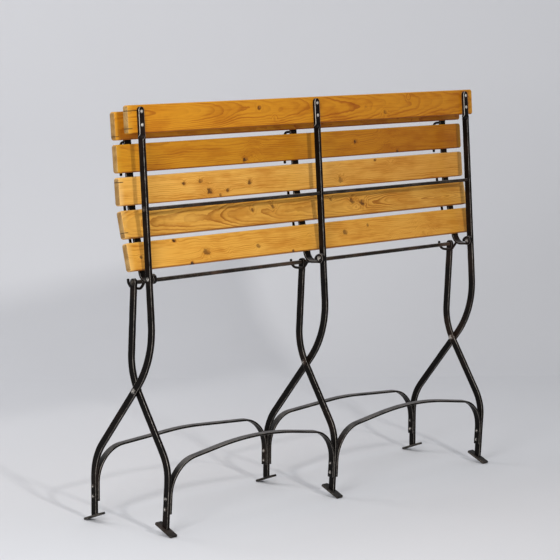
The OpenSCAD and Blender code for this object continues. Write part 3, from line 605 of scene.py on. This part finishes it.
# %% Lines of the guide rods
def beside_path(a, off):
    way = (rod_path(a + 0.5) - rod_path(a - 0.5)).normalized()
    return rod_path(a) + off * Vector((way[1], -way[0]))
guide_off = cross_rod_d / 2 + guide_play + guide_d / 2
hook_lean = (90 + rear_seat_lean) / 2
heel_inset = heel_radius * (1 / cos(radians(90 - hook_lean)) - 1)
hook_root = heel - (heel_inset - bearer_t / 2) * across(hook_lean)
hook_bottom, hook_tip = rod_path(0) - Vector((0, hook_drop)), beside_path(hook_angle, guide_off)
hook = bend_line([hook_tip, (hook_tip[0], hook_bottom[1]),
                  meet(hook_root, 90 + hook_lean, hook_bottom, 90), hook_root],
                 [0, 3 * guide_d, 2 * guide_d, 0], bearer_step)
catch_end, end_bend, rail_bend = from_bend(1) - slat_pitch / 2, 1.5 * guide_d, 10 * guide_d
rail = bend_line([beside_path(rail_angle, -guide_off),
                  on_bearer(from_bend(front_slats + rear_slats), rear_seat_lean, guide_reach),
                  meet(on_bearer(0, rear_seat_lean, guide_reach), rear_seat_lean,
                       on_bearer(0, front_seat_lean, guide_reach), front_seat_lean),
                  on_bearer(rail_end, front_seat_lean, guide_reach),
                  on_bearer(rail_end, front_seat_lean, bearer_t / 2)],
                 [0, rail_bend, rail_bend, end_bend, 0], rail_step)
catch = bend_line([beside_path(leg_opening - catch_angle, guide_off),
                   on_bearer(catch_end, front_seat_lean, guide_reach),
                   on_bearer(catch_end, front_seat_lean, bearer_t / 2)], [0, end_bend, 0],
                  rail_step)
print("steps in hook, rail and catch:", len(hook), len(rail), len(catch))

# %% Bearers
def from_the_pin(x, line):
    return [in_space(x, (p[0] + seat_pin[0], p[1] + seat_pin[1])) for p in line]

def drawn_down(p, near):
    """Moves a point of the bearer towards the back leg where the iron is narrower."""
    y, z = p[1] + middle_y - seat_pin[0], p[2] - seat_pin[1]
    share, above_eye = (neck_y - y) / (neck_y - eye_r), 16
    if share <= 0 or z > above_eye:
        return p
    width = bearer_w - (bearer_w - eye_w) * min(1, share)
    return Vector((near + (p[0] - near) * width / bearer_w, p[1], p[2]))

for number, side in enumerate(frames):
    near = bar_x(side, side_play)
    section, worn_and_glint = flat_section(bearer_t, bearer_w, thin_edge)
    rings = bar_rings(from_the_pin(bar_x(side, side_play + bearer_w / 2), bearer_line), sideways,
                      section, 60 + number, hammer=0.15)
    rings = [[drawn_down(p, near) for p in ring] for ring in rings]
    iron_piece(f"seat_bearer_{side}", [rings], worn_and_glint * len(rings), "seat", f"bearer_{side}")

# %% Guide rods
# Each rod's round tip: its width as a share, and how far it stands out, in mm
tip = [(0.45, 1.5), (0.78, 1.1), (0.95, 0.5)]

def guide_rings(x, line, section):
    way = (line[0] - line[1]).normalized()
    line = [line[0] + way * out for _, out in tip] + line
    narrow = [(share, share) for share, _ in tip] + [(1, 1)] * (len(line) - len(tip))
    return bar_rings(from_the_pin(x, line), sideways, section, narrow=narrow)

for side in frames:
    x = bar_x(side, side_play + bar_t + guide_side + guide_d / 2)
    section, worn_and_glint = round_section(guide_d, 12)
    rods = [guide_rings(x, line, section) for line in (hook, rail, catch)]
    iron_piece(f"guide_rods_{side}", rods, worn_and_glint * sum(len(rings) for rings in rods), "seat",
               f"guide_{side}")

# %% [markdown]
# ## Feet
# A short plate is set across the end of each leg. The plates are tilted while the bench is
# folded, and lie flat once the legs are open. Plates and planks are flat pieces with eased
# edges, so one helper stacks rounded outlines: narrower at the two faces, full in between.

# %% Stacked outlines
def eased_plate(length, width, thick, corner, ease, steps, long_steps=1):
    """Rings of (along, across, through) points. ease: the radius of the edges, in steps facets."""
    least_r, corner_steps = 0.3, 6
    def outline(inset):
        hl, hw, r = length / 2 - inset, width / 2 - inset, max(least_r, corner - inset)
        ring = []
        for cx, cv, start in quarters:
            angles = [radians(start + 90 * k / corner_steps) for k in range(corner_steps + 1)]
            ring += [(cx * (hl - r) + r * cos(a), cv * (hw - r) + r * sin(a)) for a in angles]
            if start in (0, 180):
                ring += [(cx * (hl - r) * (1 - 2 * k / long_steps), cv * hw)
                         for k in range(1, long_steps)]
        return ring
    angles = [radians(90 * k / steps) for k in range(steps + 1)]
    low = [(ease * (1 - sin(a)), ease * (1 - cos(a))) for a in angles]
    beside = ease + 0.8
    insets = [(beside, 0.0)] + low + [(i, thick - w) for i, w in reversed(low)] + [(beside, thick)]
    return [[Vector((x, v, w)) for x, v in outline(i)] for i, w in insets]

def set_in_place(rings, at, along, side, through):
    return [[at + along * p[0] + side * p[1] + through * p[2] for p in ring] for ring in rings]

# %% Foot plates
def foot(name, node, body, at, tilt, x):
    rings = eased_plate(foot_l, foot_w, foot_t, foot_corner, ease=1.0, steps=2)
    along, through = Vector((0, *across(tilt))), Vector((0, *up(tilt)))
    rings = set_in_place(rings, in_space(x, at), along, -sideways, through)
    edge_wear, face_wear = 0.9, 0.3
    worn_and_glint = [edge_wear if 1 < k < len(rings) - 2 else face_wear
            for k, ring in enumerate(rings) for _ in ring]
    iron_piece(name, [rings], worn_and_glint, body, node, foot_iron)

for side in frames:
    foot(f"front_foot_plate_{side}", f"front_foot_{side}", "back_frame", front_sole, front_tilt,
         bar_x(side, -bar_t / 2))
    foot(f"rear_foot_plate_{side}", f"rear_foot_{side}", "rear_legs", rear_sole, -rear_tilt,
         bar_x(side, side_play + bar_t / 2))

# %% [markdown]
# ## Rods, pins and rivets
# Everything round is turned: a list of places along an axis with a radius at each. Rivet heads
# were set with a hammer, so noise flattens them here and there.

# %% Turned pieces
def dome_profile(x, way, d, h, shank):
    ball = (d * d / 4 + h * h) / (2 * h)
    steps = [(h * s, sqrt(max(0, ball ** 2 - (ball - h + h * s) ** 2)))
             for s in (1.0, 0.985, 0.93, 0.8, 0.6, 0.36, 0.14, 0.0)]
    return [(x + way * rise, r) for rise, r in steps] + [(x, shank)]

def rivet_profile(x0, x1, d, head_d, head_h):
    return (dome_profile(x0, -1, head_d, head_h, d / 2)
            + dome_profile(x1, 1, head_d, head_h, d / 2)[::-1])

def turned_piece(name, parts, body, nodes, sides=24, dents=0.03, rim=0.35, material=worn_and_glinting_iron):
    """parts: (origin, axis, side way, profile). A profile lists (place along the axis, radius).
    dents: their depth as a share of the radius. rim: how worn a head's edge is, next to 1 in its
    middle, where the bright bare crown is partly a painted highlight."""
    least_r, dents_per_mm, uneven = 0.02, 0.35, 0.4
    points, faces, worn_and_glint = [], [], []
    for k, (origin, axis, way, profile) in enumerate(parts):
        other, first, far = axis.cross(way), len(points), max(r for _, r in profile)
        for x, r in profile:
            for j in range(sides):
                a = 2 * pi * j / sides
                p = origin + axis * x + max(r, least_r) * (way * cos(a) + other * sin(a))
                n = noise.noise(p * dents_per_mm + Vector((k, 0, 0)))
                points.append(p - (p - origin - axis * x) * dents * (0.5 + 0.5 * n))
                # Most worn at the middle of each head: partly wear, partly a painted highlight on
                # the dome.
                worn_and_glint.append(min(1.0, rim + (1 - rim) * (1 - r / far) + uneven * n))
        faces += rings_to_faces(len(profile), sides, first)
    new_piece(name, points, faces, body, nodes, material, worn_and_glint)

backward = Vector((0, -1, 0))

# %% Rods
rod_steps = 60

def long_rod(name, node, body, at, end, d, head_wide, head_high):
    """head_wide, head_high: the sizes of its heads, as shares of the rod's diameter d."""
    head_d, head_h = head_wide * d, head_high * d
    profile = dome_profile(-end, -1, head_d, head_h, d / 2)
    profile += [(-end + 2 * end * k / rod_steps, d / 2) for k in range(1, rod_steps)]
    profile += dome_profile(end, 1, head_d, head_h, d / 2)[::-1]
    turned_piece(name, [(in_space(0, at), sideways, backward, profile)], body, [node],
                 dents=0.018, material=rod_iron)

back_rod_at = seat_pin + up(back_lean) * back_rod_rise
long_rod("rod_across_the_back", "back_rod", "back_frame", back_rod_at, frame_span / 2,
         back_rod_d, head_wide=1.5, head_high=0.375)
long_rod("rod_through_the_leg_heads", "cross_rod", "rear_legs", cross_rod_at,
         end_face - side_play, cross_rod_d, head_wide=1.44, head_high=0.28)
print("rods over", frame_span, "and", 2 * (end_face - side_play), "mm")

# %% Pins and rivets
pins, crossings, small_sides = [], [], 16
for side, (inner, way) in frames.items():
    end, outer = bar_x(side, eye_w + 2 * side_play), bar_x(side, -bar_t)
    thin, thick = pin_tenon_d / 2, seat_pin_d / 2
    profile = (dome_profile(outer, -way, pin_end_d, pin_head_h, thin)
               + [(inner, thin), (inner, thick), (end, thick)]
               + dome_profile(end, way, pin_head_d, pin_head_h, thick)[-2::-1])
    pins.append((in_space(0, seat_pin), sideways, backward, profile[::way]))
    x0, x1 = sorted((bar_x(side, -bar_t), bar_x(side, bar_t + 2 * side_play)))
    profile = rivet_profile(x0, x1, crossing_d, crossing_head_d, crossing_head_h)
    crossings.append((in_space(0, crossing), sideways, backward, profile))
turned_piece("pins_of_the_seat", pins, "back_frame", ["seat_pins"])
turned_piece("rivets_at_the_crossings", crossings, "back_frame", ["crossing_rivets"])

def arch_rivets(name, node, body, foot, lean, planes):
    parts = [(in_space(0, foot + up(lean) * (rivet_low + rivet_pitch * n)), sideways, backward,
              rivet_profile(a, b, rivet_d, rivet_head_d, rivet_head_h))
             for a, b in planes for n in (0, 1)]
    turned_piece(name, parts, body, [node], small_sides)

def rivet_planes(left_end, left_bay, right_bay, right_end):
    """The pairs of faces that the rivets' heads stand on, from left to right."""
    return [(left_end, left_bay[0] + stretcher_t),
            (left_bay[1] - stretcher_t, right_bay[0] + stretcher_t),
            (right_bay[1] - stretcher_t, right_end)]

arch_rivets("rivets_of_the_front_arches", "front_stretcher_rivets", "back_frame", front_sole,
            front_shin, rivet_planes(-frame_span / 2, front_left, front_right, frame_span / 2))
arch_rivets("rivets_of_the_rear_arches", "rear_stretcher_rivets", "rear_legs", rear_sole,
            rear_shin, rivet_planes(bar_x("left", side_play), rear_left, rear_right,
                                    bar_x("right", side_play)))
print("pins:", len(pins), "crossing rivets:", len(crossings))

# %% Screws
def screw_parts(x, place, lean, way, base, reach_in):
    """A domed head standing on a face at distance base along way, and its shank the other way."""
    axis = Vector((0, *across(lean))) * way
    profile = dome_profile(base, 1, 2 * screw_d, screw_head_h, screw_d / 2)
    return (in_space(x, place), axis, sideways, profile + [(base - reach_in, screw_d / 2)])

back_screws = [screw_parts(bar_x(s, -bar_t / 2), stile_top - up(back_lean) * d, back_lean, -1,
                           bar_t / 2, back_screw_l) for s in frames for d in screw_from_top]
turned_piece("screws_of_the_backrest", back_screws, "back_frame", ["backrest_screws"],
             small_sides, rim=0.85)
seat_places = {i: (seat_pin + on_bearer(from_bend(i), slat_lean(i), -bearer_t / 2), slat_lean(i))
               for i in range(1, front_slats + rear_slats + 1)}
seat_screws = [screw_parts(bar_x(s, side_play + bearer_w / 2), at, lean, 1, bearer_t, seat_screw_l)
               for s in frames for at, lean in seat_places.values()]
turned_piece("screws_of_the_seat", seat_screws, "seat", ["seat_screws"], small_sides)
print("screws:", len(back_screws), "and", len(seat_screws))

# %% [markdown]
# ## Varnished pine
# Wood shows the log it was cut from. So each plank stores its own coordinates on its mesh, along,
# up and through, and its material measures how far every point lies from the heart of an imagined
# log. Growth rings are steps in that distance. The log leans a little against the plank, which
# draws the long flames of flat-sawn pine, and because the rule is three-dimensional, the same
# rings run over the faces, round the edges and through the ends. A branch pushes the rings aside
# and leaves a knot.

# %% A plank's place in its log
slat_l = frame_span + 2 * slat_overhang
half_l, ring_w, wander, ragged_by = slat_l / 2, 3.1, 18, 3.5

def grain_of(f, seed):
    """The plank's own coordinates, their parts, and noise drawn out along the plank."""
    place = f.node("Attribute", attribute_name="grain")["Vector"]
    def grown(number, along, around, detail=2, rough=0.5):
        at = f.node("Mapping", {"Vector": place, "Scale": (along, around, around),
                    "Location": (seed * 7.3 + number, number * 2.9, seed * 1.7)})[0]
        return f.noise(at, 1, detail, rough)
    return place, f.node("SeparateXYZ", {0: place}), grown

def from_heart(f, parts, waves, heart, lean):
    """How far each point lies from the heart of the log, in mm. The heart wanders a little."""
    off = {}
    for axis, centre, slope, wave in zip("YZ", heart, lean, waves):
        leaning = f.math("MULTIPLY_ADD", parts["X"], slope, parts[axis])
        straight = f.math("SUBTRACT", leaning, centre + wander / 2)
        off[axis] = f.math("MULTIPLY_ADD", wave, wander, straight)
    return f.vector("LENGTH", f.node("CombineXYZ", off)[0], out="Value")

def growth_rings(f, parts, far, seed):
    """Early wood darkens into late wood and breaks off sharply, more in some years than others."""
    ring = f.math("FRACT", f.math("DIVIDE", far, ring_w))
    band = f.times(f.spread(ring, 0.3, 0.9), f.spread(ring, 1.0, 0.93))
    years = f.node("CombineXYZ", {0: f.times(far, 0.21), 1: seed, 2: f.times(parts["X"], 0.006)})[0]
    return f.times(band, f.spread(f.noise(years, 1, 1), 0.3, 0.75, 0.15, 1.0))

print("planks of", slat_l, "mm, a growth ring every", ring_w, "mm")

# %% Knots and cracks
def branches(f, place, torn, far, knots):
    """Pushes the rings aside round each knot, and gives the knots' halos, their dark cores and
    the redder wood inside them. Each knot is a little longer along the plank than across it."""
    short = 0.8
    squeezed = f.vector("MULTIPLY", place, (short, 1, 0.15))
    halo = core = inner = 0.0
    def from_spot(x, v):
        return f.vector("DISTANCE", squeezed, (x * short, v, 1), "Value")
    for x, v, radius, dark in knots:
        away = f.math("MULTIPLY_ADD", torn, 1.5 * radius,
                      f.math("SUBTRACT", from_spot(x, v), 0.75 * radius))
        near = f.spread(away, 2.8 * radius, 0)
        far = f.math("MULTIPLY_ADD", near, 1.1 * radius, far)
        halo = f.math("MAXIMUM", halo, f.times(near, dark))
        if dark > 0.4:
            core = f.math("MAXIMUM", core, f.spread(away, radius, 0.6 * radius, 0, dark))
            light = from_spot(x + 0.8 * radius, v + 0.35 * radius)
            inner = f.math("MAXIMUM", inner, f.spread(light, 0.8 * radius, 0.4 * radius))
    return far, halo, core, inner

def end_cracks(f, parts, fibre, cracks):
    """Where the wood has split, from the ends inwards. Each crack wavers a little."""
    split = 0.0
    wavering = f.math("MULTIPLY_ADD", fibre, 2, parts["Y"])
    for side, v, length in cracks:
        thin = f.math("ABSOLUTE", f.math("SUBTRACT", wavering, v + 1))
        deep = f.spread(f.times(parts["X"], side), half_l - length, half_l - length + 4)
        split = f.math("MAXIMUM", split, f.times(f.spread(thin, 1.1, 0.4), deep))
    return split

# %% Pine cut from a log
def pine(name, seed, heart, lean, early, late, painted_right_shade, knots, cracks=()):
    """heart: the log's centre, up and through, in mm. lean: how it leans, per mm along.
    painted_right_shade: a painted shade, how much darker the right end is. knots: (x, v, radius,
    darkness).
    cracks: (end, v, length)."""
    f = finish(name)
    place, parts, grown = grain_of(f, seed)
    far = from_heart(f, parts, (grown(1, 0.005, 0.004), grown(2, 0.006, 0.004)), heart, lean)
    ragged = grown(3, 0.03, 0.05, 3)
    far = f.math("MULTIPLY_ADD", ragged, ragged_by, far)
    far, halo, core, inner = branches(f, place, grown(8, 0.09, 0.12, 1), far, knots)
    band = growth_rings(f, parts, far, seed)
    fibre, patch = grown(4, 0.012, 0.9), grown(5, 0.009, 0.03, 3, 0.6)
    pale, streak = grown(6, 0.006, 0.02), grown(7, 0.011, 0.22, 3, 0.6)
    tone = f.mix(band, early, late)
    tone = f.mix(f.spread(pale, 0.45, 0.75, 0, 0.35), tone, tinted(early, (1.12, 1.25, 1.7)))
    # Stains and a painted shade: what they follow, from where to where, how much at most, and in
    # what colour
    for value, low, high, most, stain in (
            (patch, 0.44, 0.66, 0.7, (0.78, 0.64, 0.42)),
            (fibre, 0.35, 0.75, 0.6, (0.84, 0.78, 0.68)),
            # painted shade: the right end darker, for light falling off along the plank
            (parts["X"], -150, 450, painted_right_shade, (0.78, 0.64, 0.45)),
            (streak, 0.48, 0.66, 0.55, (0.86, 0.74, 0.56)),
            (halo, 0.25, 1.0, 0.75, (0.62, 0.40, 0.20))):
        tone = f.mix(f.spread(value, low, high, 0, most), tone, stain, "MULTIPLY")
    knot_tone = f.mix(f.times(inner, 0.75), (0.03, 0.010, 0.003), (0.40, 0.15, 0.02))
    tone = f.mix(core, tone, knot_tone)
    # A dark line of painted shade along the lower edge, and a pale line of painted highlight along
    # the upper one
    edge = f.math("MULTIPLY_ADD", patch, 2.5, parts["Y"])
    tone = f.mix(f.spread(edge, -25.2, -26.8, 0, 0.85), tone, (0.42, 0.30, 0.20), "MULTIPLY")
    tone = f.mix(f.spread(edge, 28.0, 30.0, 0, 0.5), tone, tinted(early, (1.05, 1.25, 2.0)))
    # The ends: a painted highlight near them, partly rubbed varnish, and sawn across at them
    reach_x = f.math("ABSOLUTE", parts["X"])
    rubbed_and_highlit = f.times(f.spread(reach_x, half_l - 18, half_l - 3, 0, 0.6), f.spread(patch, 0.3, 0.5))
    tone = f.mix(rubbed_and_highlit, tone, tinted(early, (1.02, 1.22, 2.3)))
    end = f.spread(reach_x, half_l - 1.8, half_l - 0.6)
    sawn = f.mix(f.spread(ragged, 0.35, 0.65), (0.46, 0.29, 0.11), (0.29, 0.16, 0.05))
    end_tone = f.mix(f.times(band, 0.8), sawn, (0.12, 0.055, 0.018))
    tone = f.mix(f.times(end, 0.9), tone, end_tone)
    split = end_cracks(f, parts, fibre, cracks)
    if cracks:
        tone = f.mix(split, tone, (0.03, 0.014, 0.005))
    f.into("Base Color", tone)
    f.into("Roughness", f.math("MULTIPLY_ADD", end, 0.25, f.spread(patch, 0.3, 0.7, 0.33, 0.45)))
    sunk = f.math("ADD", split, f.times(core, 0.4))
    sunk = f.math("ADD", f.times(band, 0.35), sunk)
    height = f.math("SUBTRACT", f.times(fibre, 0.5), sunk)
    f.into("Normal", f.bump(height, 0.0004, 0.6))
    f.into("Specular IOR Level", 0.2)
    f.into("Coat Weight", 0.05)
    f.into("Coat Roughness", 0.22)
    return f.owner

# %% [markdown]
# ## The planks
# Each plank gets its own log, so that no two show the same figure, and its knots stand where the
# photographed bench has them. The upper three are darker and more orange, the lower three are
# paler.

# %% Logs of the planks
honey, amber, straw = (0.66, 0.275, 0.014), (0.60, 0.255, 0.012), (0.80, 0.40, 0.062)
logs = {
    0: dict(heart=(8, -46), lean=(0.008, 0.06), early=honey, late=(0.38, 0.10, 0.004), painted_right_shade=0.35,
            knots=[(-176, 11, 5, 0.7), (-127, -9, 4, 0.25), (176, 1, 3, 0.6), (242, -14, 6, 0.5),
                   (326, 17, 4, 0.3)],
            cracks=[(-1, 18, 28), (-1, -19, 14)]),
    1: dict(heart=(-20, 70), lean=(0.006, 0.02), early=honey, late=(0.38, 0.10, 0.004), painted_right_shade=0.4,
            knots=[(60, -10, 5, 0.5)], cracks=[(-1, -22, 12)]),
    2: dict(heart=(46, 64), lean=(-0.01, 0.024), early=amber, late=(0.42, 0.15, 0.007), painted_right_shade=0.8,
            knots=[(-187, -20, 6, 0.9), (-160, -2, 11, 0.35), (-127, -21, 4, 0.2),
                   (178, 3, 6, 0.9), (294, 4, 16, 0.4), (325, -25, 5, 0.7)]),
    3: dict(heart=(-42, 52), lean=(0.012, -0.022), early=(0.84, 0.44, 0.085),
            late=(0.60, 0.26, 0.025), painted_right_shade=0.6,
            knots=[(-376, 7, 5, 0.8), (-328, 9, 6, 0.6), (-300, -14, 8, 0.75), (-245, -15, 5, 0.7),
                   (-270, -24, 5, 0.6), (-176, -2, 6, 0.75), (16, 12, 5, 0.35), (109, 16, 6, 0.4),
                   (121, -14, 8, 0.45), (244, 25, 4, 0.7), (300, 12, 7, 0.3)],
            cracks=[(-1, 20, 15)]),
    4: dict(heart=(-4, 40), lean=(0.004, 0.06), early=(0.74, 0.375, 0.062),
            late=(0.36, 0.12, 0.008), painted_right_shade=0.05,
            knots=[(-177, 5, 5, 0.7), (-112, 9, 6, 0.6), (80, 12, 5, 0.5), (151, 4, 7, 0.6),
                   (183, -2, 8, 0.75)],
            cracks=[(-1, -17, 13)]),
    5: dict(heart=(48, 60), lean=(-0.008, 0.02), early=straw, late=(0.58, 0.245, 0.022), painted_right_shade=0.25,
            knots=[(-428, 26, 5, 0.95), (-337, -7, 9, 0.6), (-528, -2, 4, 0.7), (-264, -7, 4, 0.25),
                   (-177, -6, 6, 0.5), (-385, -27, 5, 0.95), (-71, -27, 4, 0.9), (-10, 9, 4, 0.4),
                   (110, 2, 7, 0.6), (190, 13, 4, 0.5), (285, -19, 10, 0.35), (387, -4, 18, 0.4)])}
print("logs:", len(logs), "knots:", sum(len(log["knots"]) for log in logs.values()))

# %% Planks
def plank(name, node, body, at, lean, way, number):
    rings = eased_plate(slat_l, slat_w, slat_t, slat_corner, slat_edge, steps=4, long_steps=24)
    rise, through = Vector((0, *up(lean))), Vector((0, *across(lean))) * way
    placed = set_in_place(rings, in_space(0, at), sideways * way, rise, through)
    piece = new_piece(name, sum(placed, []), rings_to_faces(len(rings), len(rings[0])), body,
                      [node], pine(f"pine of plank {number}", number, **logs[number]))
    layer = piece.data.attributes.new("grain", "FLOAT_VECTOR", "POINT")
    local = [c for p in sum(rings, []) for c in (way * p[0], p[1], p[2])]
    layer.data.foreach_set("vector", local)
    print(name, "with", len(logs[number]["knots"]), "knots")

backrest_at = stile_top - up(back_lean) * (slat_w / 2 - backrest_drop)
plank("backrest_plank", "backrest_slat", "back_frame",
      backrest_at + across(back_lean) * bar_t / 2, back_lean, 1, 0)
for i, (at, lean) in seat_places.items():
    plank(f"seat_plank_{i}", f"seat_slat_{i}", "seat", at, lean, -1, i)
